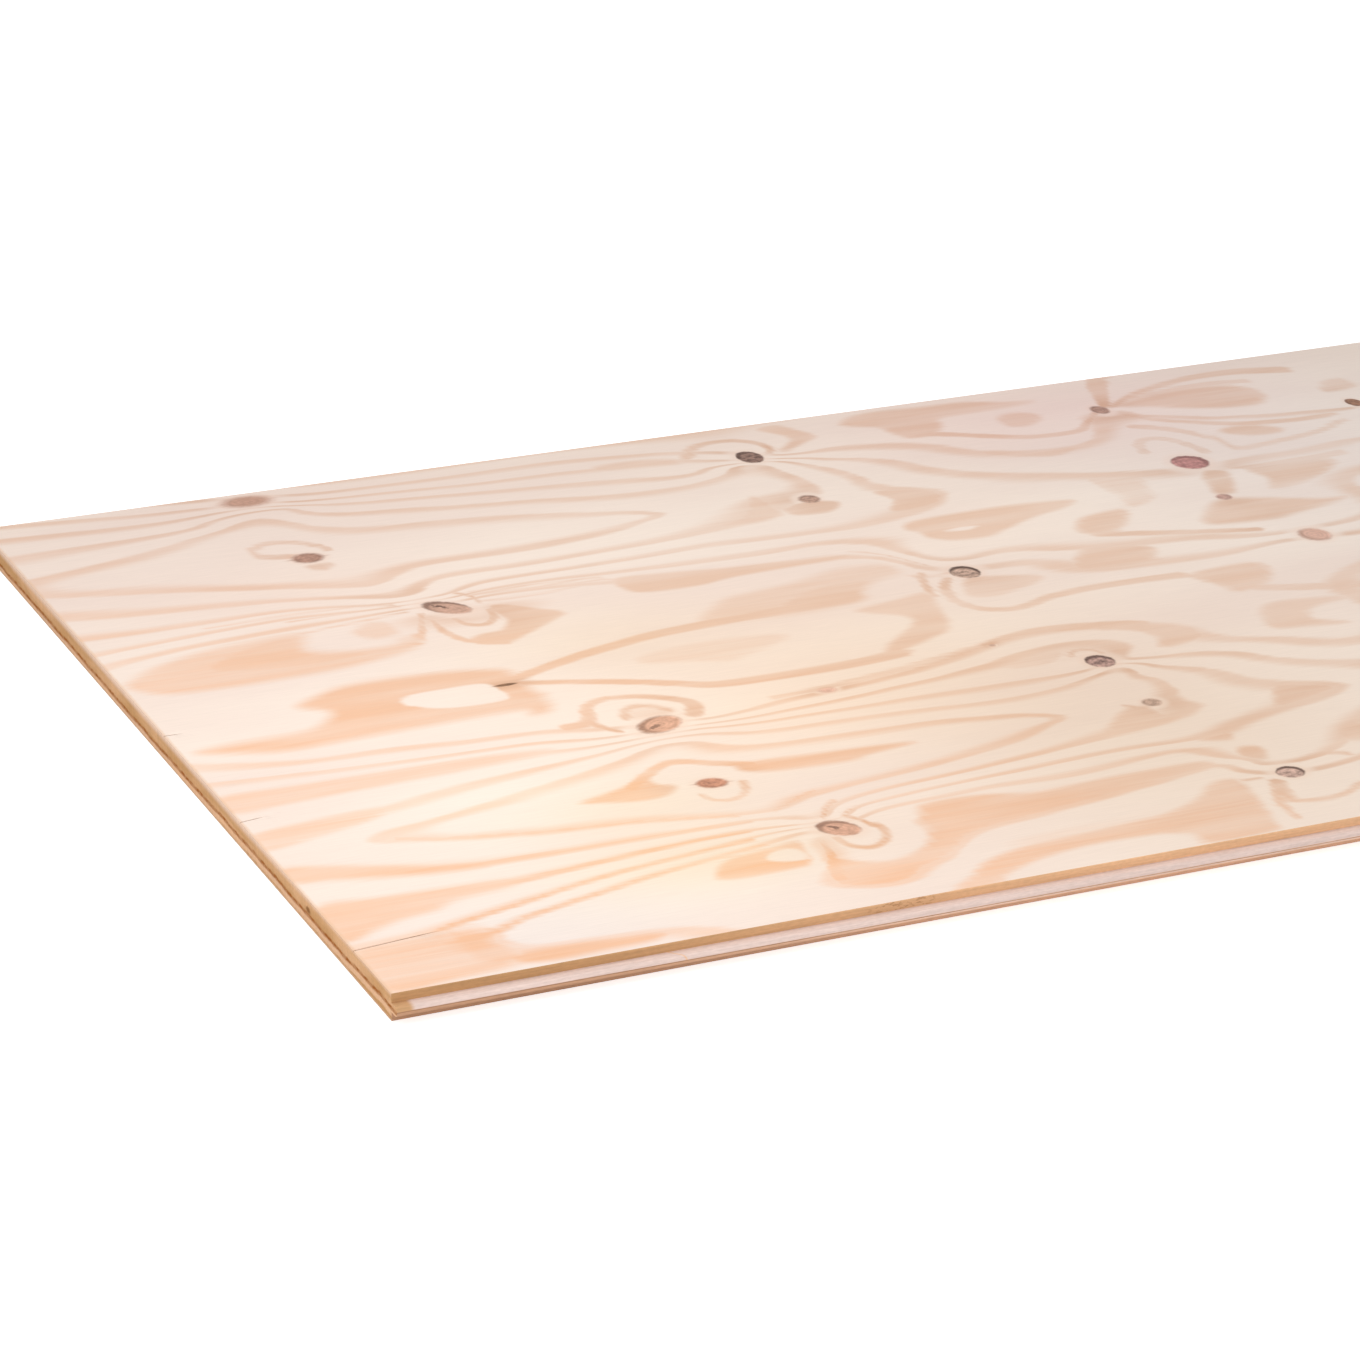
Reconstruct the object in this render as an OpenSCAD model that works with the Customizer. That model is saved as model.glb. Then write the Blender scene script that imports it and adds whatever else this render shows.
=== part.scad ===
// Plywood floor sheet, softwood, with a tongue along one long edge and the
// matching groove along the other. The two short edges are sawn square.
// Millimetres. +X runs along the face grain, +Y from the tongue to the
// groove, +Z up. The origin is the middle of the outline on the underside.

/* [Sheet] */
// Length along the face grain
sheet_length = 2440; // [600:10:3600]
// Laid width of the upper face, without the tongue
cover_width = 1208; // [300:1:1500]
// Thickness of the sheet
thickness = 24; // [18:0.5:35]

/* [Tongue] */
// How far the tongue stands out of the upper face's edge
tongue_reach = 12; // [8:0.5:16]
// Thickness of the tongue
tongue_height = 8; // [5:0.25:10]
// Radius that rounds the tongue's nose, above and below
nose_radius = 3.5; // [0.5:0.25:4]
// How far the lip under the tongue stands back, so that the faces close first
lower_setback = 0.6; // [0.2:0.1:1.5]

/* [Groove] */
// Room between the groove's bottom and a tongue that is pushed home
groove_end_room = 0.8; // [0.2:0.1:2]
// Room between the tongue and each cheek of the groove
cheek_room = 0.25; // [0.1:0.05:0.5]
// Bevel at the groove's mouth that leads the tongue in
mouth_bevel = 1; // [0.3:0.1:2]

/* [Edges] */
// Small bevel that eases the long edges of both faces
arris_bevel = 0.5; // [0.2:0.1:1]

/* [Hidden] */
$fn = 48;
// A little more than the sheet, for cuts that run out at both ends
cut_past = 2;
tongue_edge_y = -(cover_width + tongue_reach) / 2 + tongue_reach;
groove_edge_y = tongue_edge_y + cover_width;
joint_z = thickness / 2;
groove_reach = tongue_reach + groove_end_room;
groove_height = tongue_height + 2 * cheek_room;
// The rounding never takes the whole height of the nose
nose_round = min(nose_radius, tongue_height / 2 - cheek_room);
groove_radius = nose_round + cheek_room;

// Carries a section drawn in the Y-Z plane along X, centred on the origin.
module along_grain(run) {
    rotate([90, 0, 90])
        linear_extrude(height = run, center = true)
            children();
}

// Section of the sheet's body: the lip under the tongue stands back, and the
// long arrises are eased.
module body_section() {
    polygon([
        [tongue_edge_y + lower_setback + arris_bevel, 0],
        [groove_edge_y - arris_bevel, 0],
        [groove_edge_y, arris_bevel],
        [groove_edge_y, thickness - arris_bevel],
        [groove_edge_y - arris_bevel, thickness],
        [tongue_edge_y + arris_bevel, thickness],
        [tongue_edge_y, thickness - arris_bevel],
        [tongue_edge_y, joint_z],
        [tongue_edge_y + lower_setback, joint_z],
        [tongue_edge_y + lower_setback, arris_bevel]
    ]);
}

// Section of a bar with a rounded nose. It stands out from y = 0 towards -Y,
// its middle is at z = 0, and its root reaches back by the root length.
module nosed_section(reach, height, radius, root) {
    nose_y = -(reach - radius);
    round_z = height / 2 - radius;
    translate([nose_y, -height / 2])
        square([root - nose_y, height]);
    translate([-reach, -round_z])
        square([reach, 2 * round_z]);
    for (side = [-1, 1])
        translate([nose_y, side * round_z])
            circle(r = radius);
}

// Section of the bevelled mouth of the groove, widest just outside the edge.
module mouth_section() {
    half = groove_height / 2;
    polygon([
        [-mouth_bevel, -half],
        [cut_past, -half - mouth_bevel - cut_past],
        [cut_past, half + mouth_bevel + cut_past],
        [-mouth_bevel, half]
    ]);
}

module plywood_sheet() {
    color([0.95, 0.84, 0.73])
    difference() {
        along_grain(sheet_length)
            union() {
                body_section();
                translate([tongue_edge_y, joint_z])
                    nosed_section(tongue_reach, tongue_height, nose_round, 2 * lower_setback);
            }
        along_grain(sheet_length + 2 * cut_past)
            translate([groove_edge_y, joint_z])
                union() {
                    nosed_section(groove_reach, groove_height, groove_radius, cut_past);
                    mouth_section();
                }
    }
}

plywood_sheet();
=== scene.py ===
"""Plywood sheet with tongue and groove: dressed mesh, wood finishes, studio and camera."""
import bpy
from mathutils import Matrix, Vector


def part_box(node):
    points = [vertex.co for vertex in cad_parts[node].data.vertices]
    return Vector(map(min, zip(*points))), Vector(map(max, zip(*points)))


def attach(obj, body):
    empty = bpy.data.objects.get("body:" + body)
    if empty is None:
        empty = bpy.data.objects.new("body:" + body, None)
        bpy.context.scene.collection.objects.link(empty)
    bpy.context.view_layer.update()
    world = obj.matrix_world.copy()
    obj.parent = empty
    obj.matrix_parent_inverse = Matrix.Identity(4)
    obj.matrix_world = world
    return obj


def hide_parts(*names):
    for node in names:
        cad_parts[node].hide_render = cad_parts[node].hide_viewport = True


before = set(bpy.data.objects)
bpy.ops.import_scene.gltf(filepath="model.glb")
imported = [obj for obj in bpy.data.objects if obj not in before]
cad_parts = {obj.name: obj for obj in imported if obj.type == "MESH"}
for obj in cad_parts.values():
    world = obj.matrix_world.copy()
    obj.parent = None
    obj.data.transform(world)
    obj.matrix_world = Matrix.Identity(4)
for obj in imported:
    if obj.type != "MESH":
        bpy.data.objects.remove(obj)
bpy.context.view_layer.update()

from types import SimpleNamespace

import bpy
import numpy as np
from mathutils import Euler, Vector

bl_info = {
    "name": "Plywood sheet",
    "version": (1, 0, 0),
    "blender": (4, 5, 0),
    "location": "3D View > Sidebar > Plywood",
    "description": "Builds a tongue-and-groove softwood plywood sheet and a plain studio for it",
    "category": "Add Mesh",
}

NODE = "plywood_sheet"
LOW, HIGH = (np.array(corner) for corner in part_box(NODE))
MM = 0.001

# Face sizes in millimetres, as seen from above: u runs along the length, v from the tongue edge's lip.
FACE_LENGTH = 2440.0
FACE_WIDTH = 1208.0

# Past a slanting line the near figure is repeated turned half round: its u at v = 0, and its gain with v.
FAR_LINE_START = 960.0
FAR_LINE_SLANT = 0.62
# The underside shows the figure from the far end on: how far in it starts, and how fast it runs.
UNDER_START = 150.0
UNDER_PACE = 0.85
# Kinds of surface round the section, slots of their materials, and rows of points across each face.
UPPER, UNDER, EDGE = 0, 1, 2
VENEER_SLOT, EDGE_SLOT, END_SLOT = 0, 1, 2
UPPER_ROWS = 242
UNDER_ROWS = 76
# Edges between faces that turn by more than this many degrees are sharp.
SHARP_ANGLE = 30.0
# Ring surface: length that counts as one, weight of a length along the grain, easing, spots at a time.
PLATE_LENGTH = 300.0
PLATE_GRAIN = 0.45
PLATE_EASE = 1e-4
PLATE_BATCH = 6000
# Broad figure: how many times its softness a patch's edge takes, and the softness of a stroke in millimetres.
PATCH_EDGE = 1.4
STROKE_EDGE = 4.0
# Ring level and figure depth of plain pale wood.
PALE_LEVEL = 0.5
PALE_DEPTH = -1.0
# Combing of the figure's ends: seed, cells along the length, sway; none within so many half sizes of a knot.
COMB_SEED = 24
COMB_CELLS = 60
COMB_SWAY = 2.0
KNOT_CALM = 2.0
# The offset from a knot is stored up to this many half sizes.
KNOT_FAR = 6.0
# Columns at which a knot's look, its marks and its colour start.
KNOT_COLUMNS = (5, 8, 11)
# Splits: run-out of the painted shade, half width of the line of painted shade, gap to the rows beside it,
# run-out of the rows.
SPLIT_RUN_OUT = 12.0
SPLIT_LINE = 0.2
SPLIT_GAP = 1.2
SPLIT_FADE = 40.0
# Studio sizes: half width of the floor, its drop under the sheet, camera sensor and far clip.
FLOOR_HALF = 12.0
FLOOR_DROP = 0.0002
SENSOR_WIDTH = 36.0
FAR_CLIP = 100.0
# Lamps: name, place, target, width, and the setting that holds the power.
LAMPS = [
    ("key_lamp", (-1.05, -0.3, 1.5), (-1.0, -0.25, 0.0), 1.2, "key"),
    ("fill_lamp", (-3.2, -3.6, 0.6), (-0.9, -0.5, 0.0), 1.0, "fill"),
]

# Ring lines of the upper veneer: ring level, then points (u, v). Half levels hold the pale wood between.
RING_LINES = [
    # first long eye, between the two back knots
    (1, (0, 1030), (50, 1043), (100, 1056), (150, 1072), (200, 1093), (250, 1117), (265, 1119),
        (285, 1104), (305, 1078), (350, 1052), (400, 1044), (450, 1037), (500, 1027), (550, 1013),
        (600, 997), (638, 982), (648, 973), (625, 960), (600, 949), (550, 937), (500, 930), (450, 928),
        (400, 929), (365, 926), (345, 919), (330, 907), (318, 896), (303, 891), (280, 898), (250, 910),
        (200, 927), (150, 944), (100, 960), (50, 973), (0, 990)),
    (0.5, (60, 1010), (200, 1058), (200, 955), (400, 1005), (520, 980), (400, 955), (150, 1005),
        (275, 1075), (590, 976), (625, 974)),
    # second long eye, between the two front knots
    (1, (95, 290), (120, 303), (150, 309), (200, 322), (250, 337), (300, 351), (360, 373), (400, 389),
        (422, 387), (445, 366), (500, 350), (600, 345), (650, 342), (700, 333), (745, 317), (756, 309),
        (740, 297), (700, 277), (650, 263), (600, 252), (550, 244), (500, 237), (480, 234), (462, 230),
        (445, 220), (425, 214), (400, 217), (350, 229), (300, 241), (250, 246), (200, 257), (150, 270),
        (125, 280)),
    (0.5, (170, 293), (250, 305), (480, 328), (650, 320), (680, 300), (450, 260), (320, 265), (400, 320),
        (715, 309), (737, 309)),
    # rings round the first eye
    (2, (0, 1104), (100, 1110), (150, 1114), (200, 1122), (235, 1140)),
    (2, (302, 1144), (315, 1128), (330, 1115), (350, 1105), (400, 1094), (450, 1082), (500, 1072),
        (550, 1063), (600, 1050), (640, 1043), (680, 1041), (720, 1043), (750, 1052), (775, 1066),
        (795, 1082)),
    (2, (815, 1068), (822, 1040), (829, 1005), (828, 980), (818, 968)),
    (2, (768, 972), (760, 955), (745, 935), (725, 920), (700, 911), (650, 900), (600, 894), (550, 891),
        (500, 887), (450, 885), (400, 886), (375, 884), (358, 877), (345, 864), (335, 852)),
    (2, (0, 920), (50, 907), (100, 899), (150, 892), (200, 884), (250, 872), (290, 858), (320, 848)),
    (1.5, (720, 985), (790, 1010), (700, 1000), (30, 950), (30, 1068)),
    (3, (0, 1164), (60, 1158), (140, 1152), (215, 1155)),
    (3, (312, 1150), (360, 1135), (400, 1127), (450, 1120), (500, 1112), (560, 1103), (620, 1094),
        (680, 1083), (740, 1078), (795, 1090)),
    (3, (838, 1078), (860, 1052), (876, 1025), (886, 1000), (889, 972), (905, 950), (925, 938), (942, 918),
        (925, 893), (870, 868), (810, 855), (740, 857), (650, 864), (550, 857), (450, 855), (395, 849),
        (365, 836)),
    (3, (0, 858), (60, 853), (150, 853), (230, 849), (310, 832)),
    (2.5, (860, 1000), (820, 900), (700, 882), (870, 925)),
    (4, (325, 1160), (400, 1151), (500, 1140), (620, 1135), (700, 1126), (745, 1122)),
    (4, (850, 1085), (880, 1070), (905, 1058), (930, 1044), (948, 1025), (960, 1005), (978, 982),
        (1000, 962), (1050, 934), (1100, 914), (1130, 902), (1185, 886)),
    (4, (0, 810), (60, 818), (130, 826), (210, 831), (310, 822)),
    (4, (385, 828), (430, 833), (520, 828), (600, 823), (700, 820), (760, 824), (800, 813), (816, 800),
        (824, 780), (830, 762), (840, 742), (858, 727), (880, 724), (910, 730), (940, 727), (975, 712),
        (1010, 702), (1060, 694), (1120, 687), (1195, 664)),
    (3.5, (980, 900), (1060, 885), (940, 970), (1000, 860), (900, 835), (960, 800), (1050, 800),
        (1130, 840), (1000, 760), (1120, 760)),
    (5, (380, 1175), (600, 1173), (700, 1160)),
    (5, (850, 1098), (900, 1097), (950, 1086), (985, 1073), (1008, 1058), (1025, 1040), (1045, 1020),
        (1085, 1004), (1120, 996), (1150, 996), (1180, 1008), (1200, 1030), (1218, 1062)),
    (4.5, (1000, 1010), (1060, 970), (1150, 930), (1180, 970), (1300, 965), (1400, 950), (1240, 1020),
        (1290, 1030), (1345, 1006), (1420, 988)),
    (5, (1255, 1080), (1285, 1054), (1330, 1028), (1400, 1008), (1460, 1000), (1560, 1005)),
    (4, (1262, 880), (1300, 886), (1360, 886), (1430, 898), (1520, 920)),
    (3.5, (1260, 800), (1310, 850), (1300, 760), (1360, 860), (1290, 690), (1430, 860)),
    (5, (0, 774), (40, 786), (90, 795), (170, 803), (310, 811)),
    (5, (395, 815), (470, 812), (530, 801), (570, 788), (640, 783), (700, 779), (770, 775), (800, 758),
        (815, 735), (830, 712)),
    (5, (885, 692), (925, 690), (955, 662), (1000, 641), (1060, 636), (1130, 634), (1195, 643)),
    (5.5, (935, 1150), (1000, 1180), (1100, 1150), (1180, 1150), (1060, 1090), (1150, 1080), (800, 1150),
        (870, 1160), (1080, 1040), (1150, 1020), (1300, 1110), (1400, 1090), (1500, 1100), (1450, 1150),
        (1290, 1078), (1330, 1055), (1395, 1036), (1460, 1026), (1350, 1190), (1550, 1150), (1600, 1195)),
    # rings round the second eye
    (2, (0, 322), (50, 337), (100, 346), (150, 357), (200, 370), (250, 378), (300, 386), (345, 393)),
    (2, (445, 400), (480, 388), (500, 384), (560, 380), (600, 378), (650, 374), (700, 367), (760, 366),
        (800, 372), (838, 385)),
    (2, (866, 395), (872, 372), (884, 345), (884, 325), (874, 312)),
    (2, (872, 296), (880, 284), (850, 265), (780, 252), (700, 237), (620, 227), (540, 219), (495, 209),
        (474, 196), (462, 183)),
    (2, (0, 250), (50, 232), (100, 213), (150, 207), (200, 204), (250, 205), (300, 206), (350, 203),
        (400, 202), (430, 196)),
    (1.5, (30, 290), (60, 290), (820, 335), (800, 290), (830, 320), (100, 328), (120, 250), (790, 352),
        (835, 365), (854, 376), (860, 350), (848, 338)),
    (3, (0, 415), (50, 418), (100, 419), (150, 421), (200, 420), (250, 419), (300, 416), (375, 412)),
    (3, (448, 413), (500, 406), (550, 405), (600, 403), (700, 401), (780, 399), (838, 402)),
    (3, (878, 404), (900, 388), (925, 369), (945, 350), (955, 328), (965, 312), (990, 297), (1030, 273),
        (985, 252), (930, 240), (890, 226), (860, 213), (820, 212), (790, 215), (700, 212), (600, 205),
        (530, 198), (495, 190)),
    (2.5, (920, 300), (915, 265), (910, 330)),
    (3, (0, 140), (50, 150), (100, 157), (150, 162), (200, 167), (250, 172), (300, 178), (350, 181),
        (405, 181)),
    (4, (0, 465), (80, 456), (180, 447), (300, 440), (372, 426)),
    (4, (455, 422), (500, 420), (520, 421), (600, 427), (650, 434), (720, 443), (790, 461), (850, 471),
        (885, 462), (897, 442), (886, 425)),
    (4, (890, 411), (950, 401), (985, 386), (1006, 363), (1050, 333), (1090, 314)),
    (4, (500, 174), (550, 182), (620, 186), (700, 182), (760, 189), (790, 193), (815, 194), (835, 180),
        (850, 160), (866, 137)),
    (3.5, (950, 200), (1000, 330), (1060, 290)),
    (4, (0, 88), (76, 98), (100, 106), (125, 113), (150, 120), (200, 133), (250, 145), (300, 153),
        (350, 161), (405, 169)),
    (5, (0, 508), (50, 492), (100, 481), (170, 478), (250, 467), (330, 459), (365, 448)),
    (5, (468, 433), (540, 444), (600, 451), (650, 458), (700, 468), (750, 484), (805, 506), (850, 511),
        (905, 502), (945, 486), (972, 465), (984, 440), (1008, 418), (1045, 401), (1080, 378),
        (1125, 370)),
    (5, (250, 21), (200, 28), (160, 33), (124, 38), (119, 48), (112, 60), (118, 73), (130, 82), (150, 93),
        (175, 99), (200, 107), (250, 122), (300, 134), (350, 144), (400, 153), (435, 160), (439, 140),
        (434, 120), (428, 100), (418, 75), (412, 55), (417, 45), (435, 38), (455, 33), (478, 41),
        (492, 54), (520, 66), (540, 80), (556, 97), (580, 107), (620, 113), (700, 127), (760, 137),
        (810, 147), (828, 150), (840, 140), (852, 122)),
    (4.5, (0, 50), (40, 40), (85, 45), (0, 10), (60, 10), (110, 20), (150, 10), (200, 6), (470, 90),
        (500, 120), (470, 125), (520, 105), (510, 160), (540, 165), (600, 165), (700, 160), (780, 165)),
    # pale wood between the eyes and along the front edge
    (5.5, (20, 735), (60, 650), (200, 665), (300, 690), (430, 650), (520, 715), (480, 755), (600, 740),
        (240, 760), (20, 600), (700, 740), (60, 535), (250, 590), (420, 595), (560, 600), (660, 560),
        (700, 640), (740, 690), (200, 540), (400, 540), (600, 485), (740, 530), (850, 550), (960, 560),
        (1050, 500), (1120, 450), (1150, 560), (1050, 600), (830, 620), (370, 720), (460, 485)),
    (5.5, (150, 65), (200, 70), (300, 90), (350, 60), (400, 90), (400, 30), (560, 75), (650, 95),
        (740, 110), (300, 40), (500, 20), (600, 20), (700, 30), (820, 60), (880, 40), (960, 100)),
]

# Broad latewood figure: softness of the edge, strength at the middle, then the outline.
TAN_PATCHES = [
    (12, 0.66, (8, 722), (30, 745), (60, 764), (110, 781), (190, 788), (193, 765), (187, 742), (215, 728),
        (265, 722), (290, 737), (285, 712), (245, 697), (190, 686), (100, 683), (30, 692)),
    (9, 1, (85, 728), (105, 755), (140, 776), (190, 788), (192, 765), (186, 742), (208, 728), (250, 718),
        (225, 704), (165, 702), (115, 712)),
    (9, 0.6, (245, 770), (268, 788), (285, 778), (282, 756), (258, 750)),
    (11, 1, (135, 610), (180, 640), (225, 646), (280, 640), (325, 628), (345, 612), (345, 560), (350, 545),
        (342, 510), (322, 505), (318, 520), (250, 520), (150, 515), (95, 512), (60, 520), (15, 540),
        (60, 548), (120, 550), (150, 570), (155, 590)),
    (12, 0.62, (565, 662), (585, 692), (610, 712), (640, 718), (690, 728), (740, 745), (775, 745),
        (792, 738), (795, 715), (765, 703), (742, 685), (728, 658), (690, 650), (640, 650)),
    (7, 1, (625, 653), (648, 674), (680, 698), (725, 714), (760, 712), (760, 703), (742, 685), (728, 657),
        (690, 650), (650, 649)),
    (6, 1, (690, 512), (692, 530), (725, 560), (745, 580), (748, 600), (715, 625), (712, 635), (760, 645),
        (796, 650), (790, 615), (781, 578), (768, 550), (742, 536), (705, 518)),
    (13, 0.46, (468, 592), (500, 605), (560, 607), (612, 599), (598, 586), (565, 571), (542, 565),
        (512, 577)),
    (5, 1, (530, 810), (590, 806), (640, 797), (700, 791), (770, 783), (770, 773), (700, 772), (640, 768),
        (600, 759), (550, 761), (532, 775)),
    (5, 1, (340, 705), (368, 686), (400, 704), (445, 735), (450, 745), (430, 765), (410, 785), (392, 790),
        (388, 770), (392, 745), (378, 722), (355, 718)),
    (5, 0.8, (265, 968), (292, 968), (288, 955), (278, 949), (268, 956)),
    (6, 0.7, (283, 297), (310, 306), (340, 318), (356, 326), (360, 308), (373, 299), (362, 285),
        (340, 280), (310, 286)),
    (6, 0.8, (445, 322), (520, 318), (608, 307), (560, 296), (540, 290), (480, 293), (445, 303)),
    (6, 0.7, (492, 54), (520, 66), (540, 80), (556, 97), (580, 107), (620, 113), (700, 127), (760, 137),
        (810, 147), (828, 150), (820, 163), (760, 165), (700, 162), (650, 160), (610, 173), (575, 177),
        (548, 172), (540, 156), (530, 140), (530, 122), (520, 100), (500, 84), (472, 77), (447, 86),
        (434, 100), (424, 84), (412, 57), (417, 45), (435, 38), (455, 33), (478, 41)),
    (5, 1, (324, 105), (335, 122), (352, 134), (380, 139), (415, 146), (420, 138), (414, 118), (410, 100),
        (398, 95), (350, 94), (330, 97)),
    (14, 0.6, (0, 84), (40, 90), (80, 92), (112, 85), (112, 60), (119, 44), (110, 15), (60, 8), (0, 5)),
    (10, 0.78, (76, 70), (90, 86), (116, 79), (112, 60), (120, 48), (122, 30), (110, 18), (90, 20),
        (80, 40)),
    (7, 1, (112, 16), (126, 37), (160, 33), (200, 28), (242, 23), (232, 10), (180, 6), (140, 6)),
    (10, 0.66, (0, 178), (60, 177), (120, 173), (170, 168), (160, 156), (110, 149), (90, 137), (60, 131),
        (30, 120), (0, 108)),
    (9, 0.6, (0, 430), (60, 431), (130, 430), (200, 430), (250, 427), (300, 420), (300, 414), (250, 410),
        (200, 407), (120, 403), (50, 398), (0, 396)),
    (8, 0.85, (0, 265), (40, 255), (80, 239), (120, 223), (160, 212), (160, 203), (110, 206), (60, 219),
        (30, 228), (0, 234)),
    (9, 0.55, (0, 338), (50, 350), (100, 355), (130, 352), (100, 334), (50, 320), (0, 308)),
    (7, 0.66, (495, 0), (520, 20), (545, 42), (590, 58), (650, 64), (700, 68), (735, 72), (775, 90),
        (800, 112), (815, 118), (828, 112), (825, 80), (810, 20), (800, 5), (735, 5), (735, 25), (720, 32),
        (700, 38), (640, 40), (580, 28), (545, 10), (535, 0)),
    (5, 0.9, (775, 935), (790, 945), (815, 945), (835, 935), (830, 920), (812, 908), (785, 910),
        (773, 918)),
    (6, 0.9, (690, 918), (715, 925), (735, 945), (750, 975), (768, 985), (770, 945), (765, 920),
        (735, 908), (700, 908)),
    (5, 0.9, (885, 950), (940, 932), (942, 905), (925, 888), (890, 880), (870, 885), (885, 905),
        (890, 925)),
    (6, 1, (860, 828), (880, 848), (960, 853), (1000, 852), (1055, 845), (1060, 835), (1040, 822),
        (1000, 810), (960, 790), (930, 775), (890, 778), (870, 797), (870, 812)),
    (7, 0.8, (1020, 750), (1030, 775), (1050, 790), (1095, 795), (1085, 765), (1065, 745), (1050, 735),
        (1030, 738)),
    (8, 0.8, (1150, 720), (1165, 750), (1190, 775), (1210, 780), (1230, 775), (1260, 762), (1300, 742),
        (1330, 738), (1300, 725), (1250, 712), (1225, 705), (1180, 710)),
    (7, 0.68, (1236, 870), (1254, 860), (1248, 838), (1237, 812), (1226, 795), (1208, 800), (1215, 825),
        (1222, 850)),
    (7, 0.8, (960, 653), (985, 690), (1005, 705), (1055, 690), (1065, 672), (1050, 650), (1080, 640),
        (1000, 640)),
    (8, 0.55, (832, 625), (838, 650), (850, 668), (870, 668), (895, 660), (920, 648), (905, 635),
        (880, 625), (855, 617)),
    (7, 0.7, (1055, 590), (1100, 600), (1140, 595), (1130, 560), (1110, 540), (1075, 532), (1070, 555)),
    (7, 0.8, (1055, 430), (1065, 470), (1090, 490), (1140, 485), (1170, 475), (1130, 468), (1110, 455),
        (1105, 435), (1130, 415), (1090, 420)),
    (6, 0.45, (770, 440), (800, 455), (830, 468), (848, 470), (838, 455), (825, 440), (800, 432)),
    (5, 0.9, (920, 505), (945, 490), (972, 475), (988, 455), (980, 435), (940, 425), (930, 432),
        (940, 450), (935, 470), (915, 485), (900, 492)),
    (7, 0.62, (768, 253), (788, 268), (806, 287), (826, 302), (842, 299), (846, 280), (860, 266),
        (872, 290), (882, 284), (872, 266), (830, 256)),
    (5, 0.9, (945, 248), (960, 270), (975, 298), (1000, 292), (1030, 273), (1000, 260), (985, 255)),
    (5, 0.9, (845, 208), (870, 215), (885, 230), (880, 210), (872, 198)),
    (5, 0.9, (862, 170), (872, 180), (888, 172), (878, 147), (862, 155)),
    (6, 0.8, (860, 1190), (885, 1195), (902, 1165), (908, 1142), (885, 1125), (860, 1108), (852, 1112),
        (870, 1130), (880, 1150), (870, 1170)),
    (7, 1, (650, 1140), (690, 1143), (735, 1130), (738, 1115), (700, 1118), (650, 1125)),
    (7, 1, (950, 1165), (965, 1185), (1000, 1195), (1060, 1190), (1110, 1188), (1150, 1170), (1185, 1160),
        (1160, 1152), (1100, 1148), (1060, 1145), (1050, 1120), (1030, 1095), (1000, 1095), (990, 1110),
        (985, 1140), (970, 1152)),
    (8, 0.6, (1115, 1095), (1125, 1125), (1150, 1128), (1165, 1110), (1150, 1090), (1130, 1083)),
    (6, 0.9, (1040, 1020), (1060, 1022), (1100, 1003), (1150, 1000), (1165, 998), (1120, 978), (1090, 985),
        (1060, 1000)),
    (8, 0.8, (1262, 1105), (1300, 1122), (1350, 1130), (1405, 1125), (1428, 1105), (1430, 1075),
        (1410, 1050), (1370, 1052), (1330, 1068), (1290, 1090)),
    (6, 0.8, (1320, 985), (1350, 990), (1385, 968), (1375, 952), (1345, 955), (1325, 968)),
    (9, 0.5, (1112, 900), (1135, 895), (1160, 878), (1150, 850), (1140, 815), (1105, 800), (1115, 830),
        (1112, 865)),
    (8, 0.6, (1500, 1060), (1515, 1090), (1540, 1095), (1545, 1070), (1530, 1060)),
    (7, 0.7, (962, 160), (970, 178), (1000, 188), (1012, 172), (985, 150)),
    (8, 0.42, (398, 462), (402, 480), (416, 489), (434, 480), (440, 462)),
    (8, 0.7, (1280, 855), (1330, 858), (1380, 850), (1350, 815), (1300, 792), (1270, 792), (1285, 820)),
]

# Pale islands left inside the broad figure: softness, then the outline.
PALE_ISLANDS = [
    (4, (222, 578), (235, 595), (270, 598), (310, 596), (318, 570), (315, 550), (275, 548), (245, 557)),
    (4, (378, 118), (390, 133), (410, 133), (412, 112), (400, 108)),
    (4, (893, 806), (915, 812), (933, 808), (920, 801)),
]

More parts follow.
